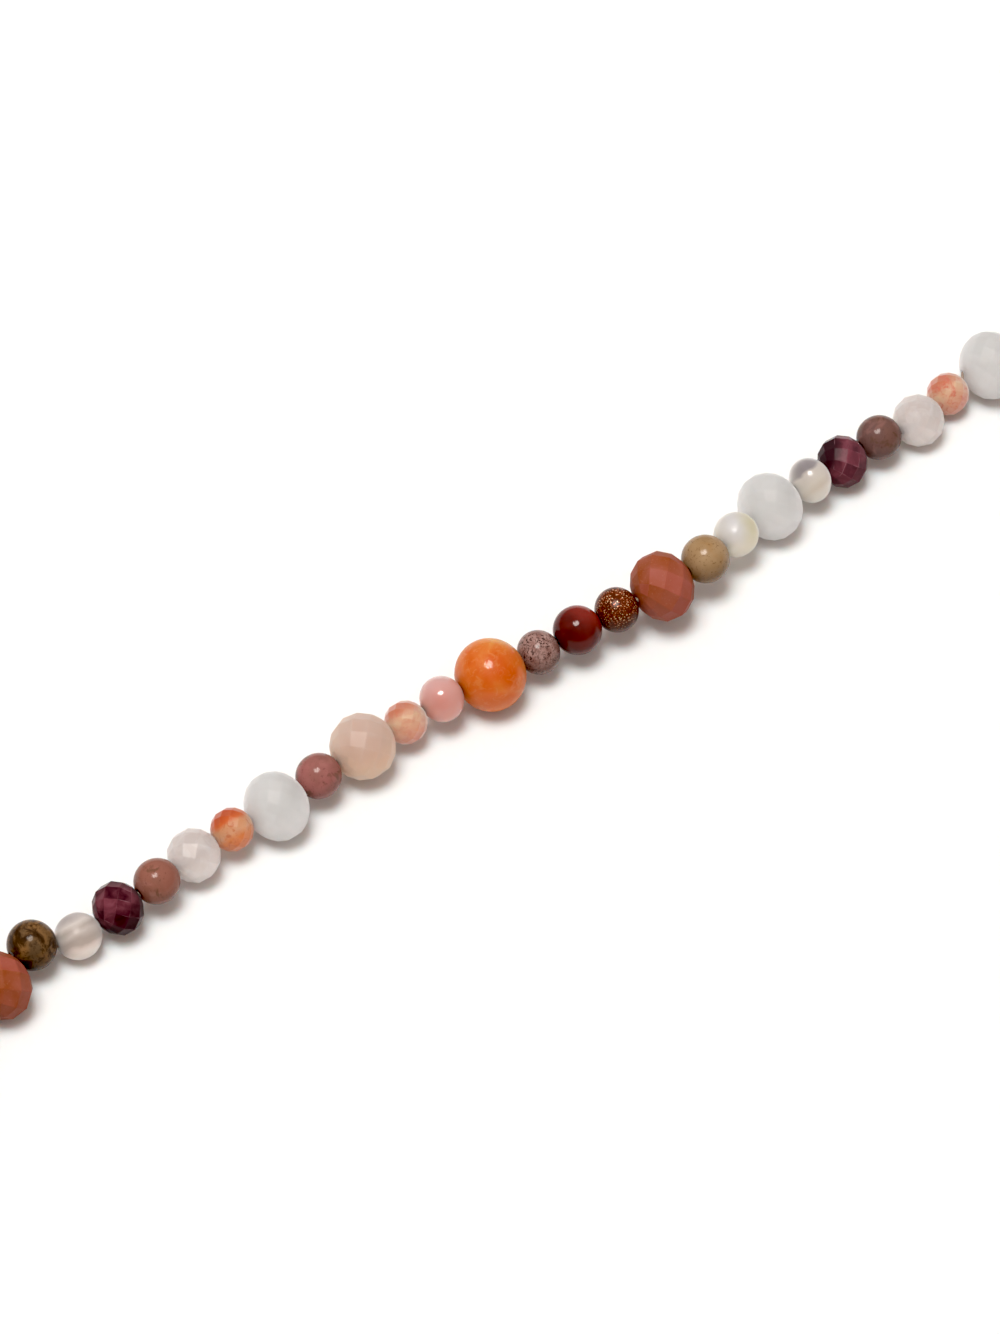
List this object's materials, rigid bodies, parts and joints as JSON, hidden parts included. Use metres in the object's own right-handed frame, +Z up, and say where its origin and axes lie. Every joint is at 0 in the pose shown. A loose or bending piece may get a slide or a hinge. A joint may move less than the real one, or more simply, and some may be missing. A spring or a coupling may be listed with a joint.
{
  "type": "beaded bracelet",
  "caption": "Closed bracelet of small round and faceted gemstone beads on a fine thread, with larger rondelles between them and a plain barrel clasp, lying flat.",
  "frame": {"origin": "under the middle of the bracelet's outline, on the surface that it lies on", "axes": "+Z up from the surface; +X to the right and +Y to the far side, with the long straight run passing from the left to the far right"},
  "size_m": [0.0616, 0.0628, 0.0039],
  "materials": {
    "coral_stone": "satin faceted opaque stone",
    "white_stone": "milky faceted stone, soft polish",
    "moonstone": "cloudy peach faceted stone",
    "orange_quartz": "polished cloudy orange stone, slightly translucent",
    "brown_jasper": "polished brown stone with dark mottling",
    "chalcedony": "polished translucent grey stone",
    "garnet": "brightly polished faceted dark red stone",
    "rhodonite": "polished dusty rose stone",
    "rose_quartz": "milky faceted pale pink stone",
    "carnelian": "clear faceted orange stone",
    "peach_quartz": "clear faceted peach stone",
    "pink_opal": "polished opaque pink stone",
    "mauve_stone": "polished mauve grey stone with dark specks",
    "dark_carnelian": "polished deep red stone",
    "goldstone": "polished brown glass full of copper flecks",
    "tan_jasper": "polished tan stone with fine specks",
    "white_opal": "polished milky white stone",
    "grey_agate": "polished banded grey and cream stone",
    "thread": "fine twisted beading thread",
    "clasp_metal": "polished plain metal"
  },
  "bodies": {
    "root": {"coral_rondelle_1": "coral_stone", "white_rondelle_1": "white_stone", "moonstone_bead_1": "moonstone", "orange_bead_1": "orange_quartz", "coral_rondelle_2": "coral_stone", "white_rondelle_2": "white_stone", "white_rondelle_3": "white_stone", "white_rondelle_4": "white_stone", "moonstone_bead_2": "moonstone", "orange_bead_2": "orange_quartz", "coral_rondelle_3": "coral_stone", "white_rondelle_5": "white_stone", "white_rondelle_6": "white_stone", "white_rondelle_7": "white_stone", "moonstone_bead_3": "moonstone", "orange_bead_3": "orange_quartz", "barrel_clasp": "clasp_metal", "white_rondelle_8": "white_stone", "white_rondelle_9": "white_stone", "small_beads_01": "brown_jasper", "small_beads_02": "rhodonite", "small_beads_03": "rhodonite", "small_beads_04": "peach_quartz", "small_beads_05": "mauve_stone", "small_beads_06": "tan_jasper", "small_beads_07": "grey_agate", "small_beads_08": "rose_quartz", "small_beads_09": "brown_jasper", "small_beads_10": "rhodonite", "small_beads_11": "rhodonite", "small_beads_12": "peach_quartz", "small_beads_13": "mauve_stone", "small_beads_14": "tan_jasper", "small_beads_15": "grey_agate", "small_beads_16": "rose_quartz", "small_beads_17": "brown_jasper", "small_beads_18": "rhodonite", "small_beads_19": "rhodonite", "small_beads_20": "peach_quartz", "small_beads_21": "mauve_stone", "small_beads_22": "rhodonite", "small_beads_23": "carnelian", "small_beads_24": "garnet", "small_beads_25": "peach_quartz", "small_beads_26": "garnet"}
  },
  "joints": []
}
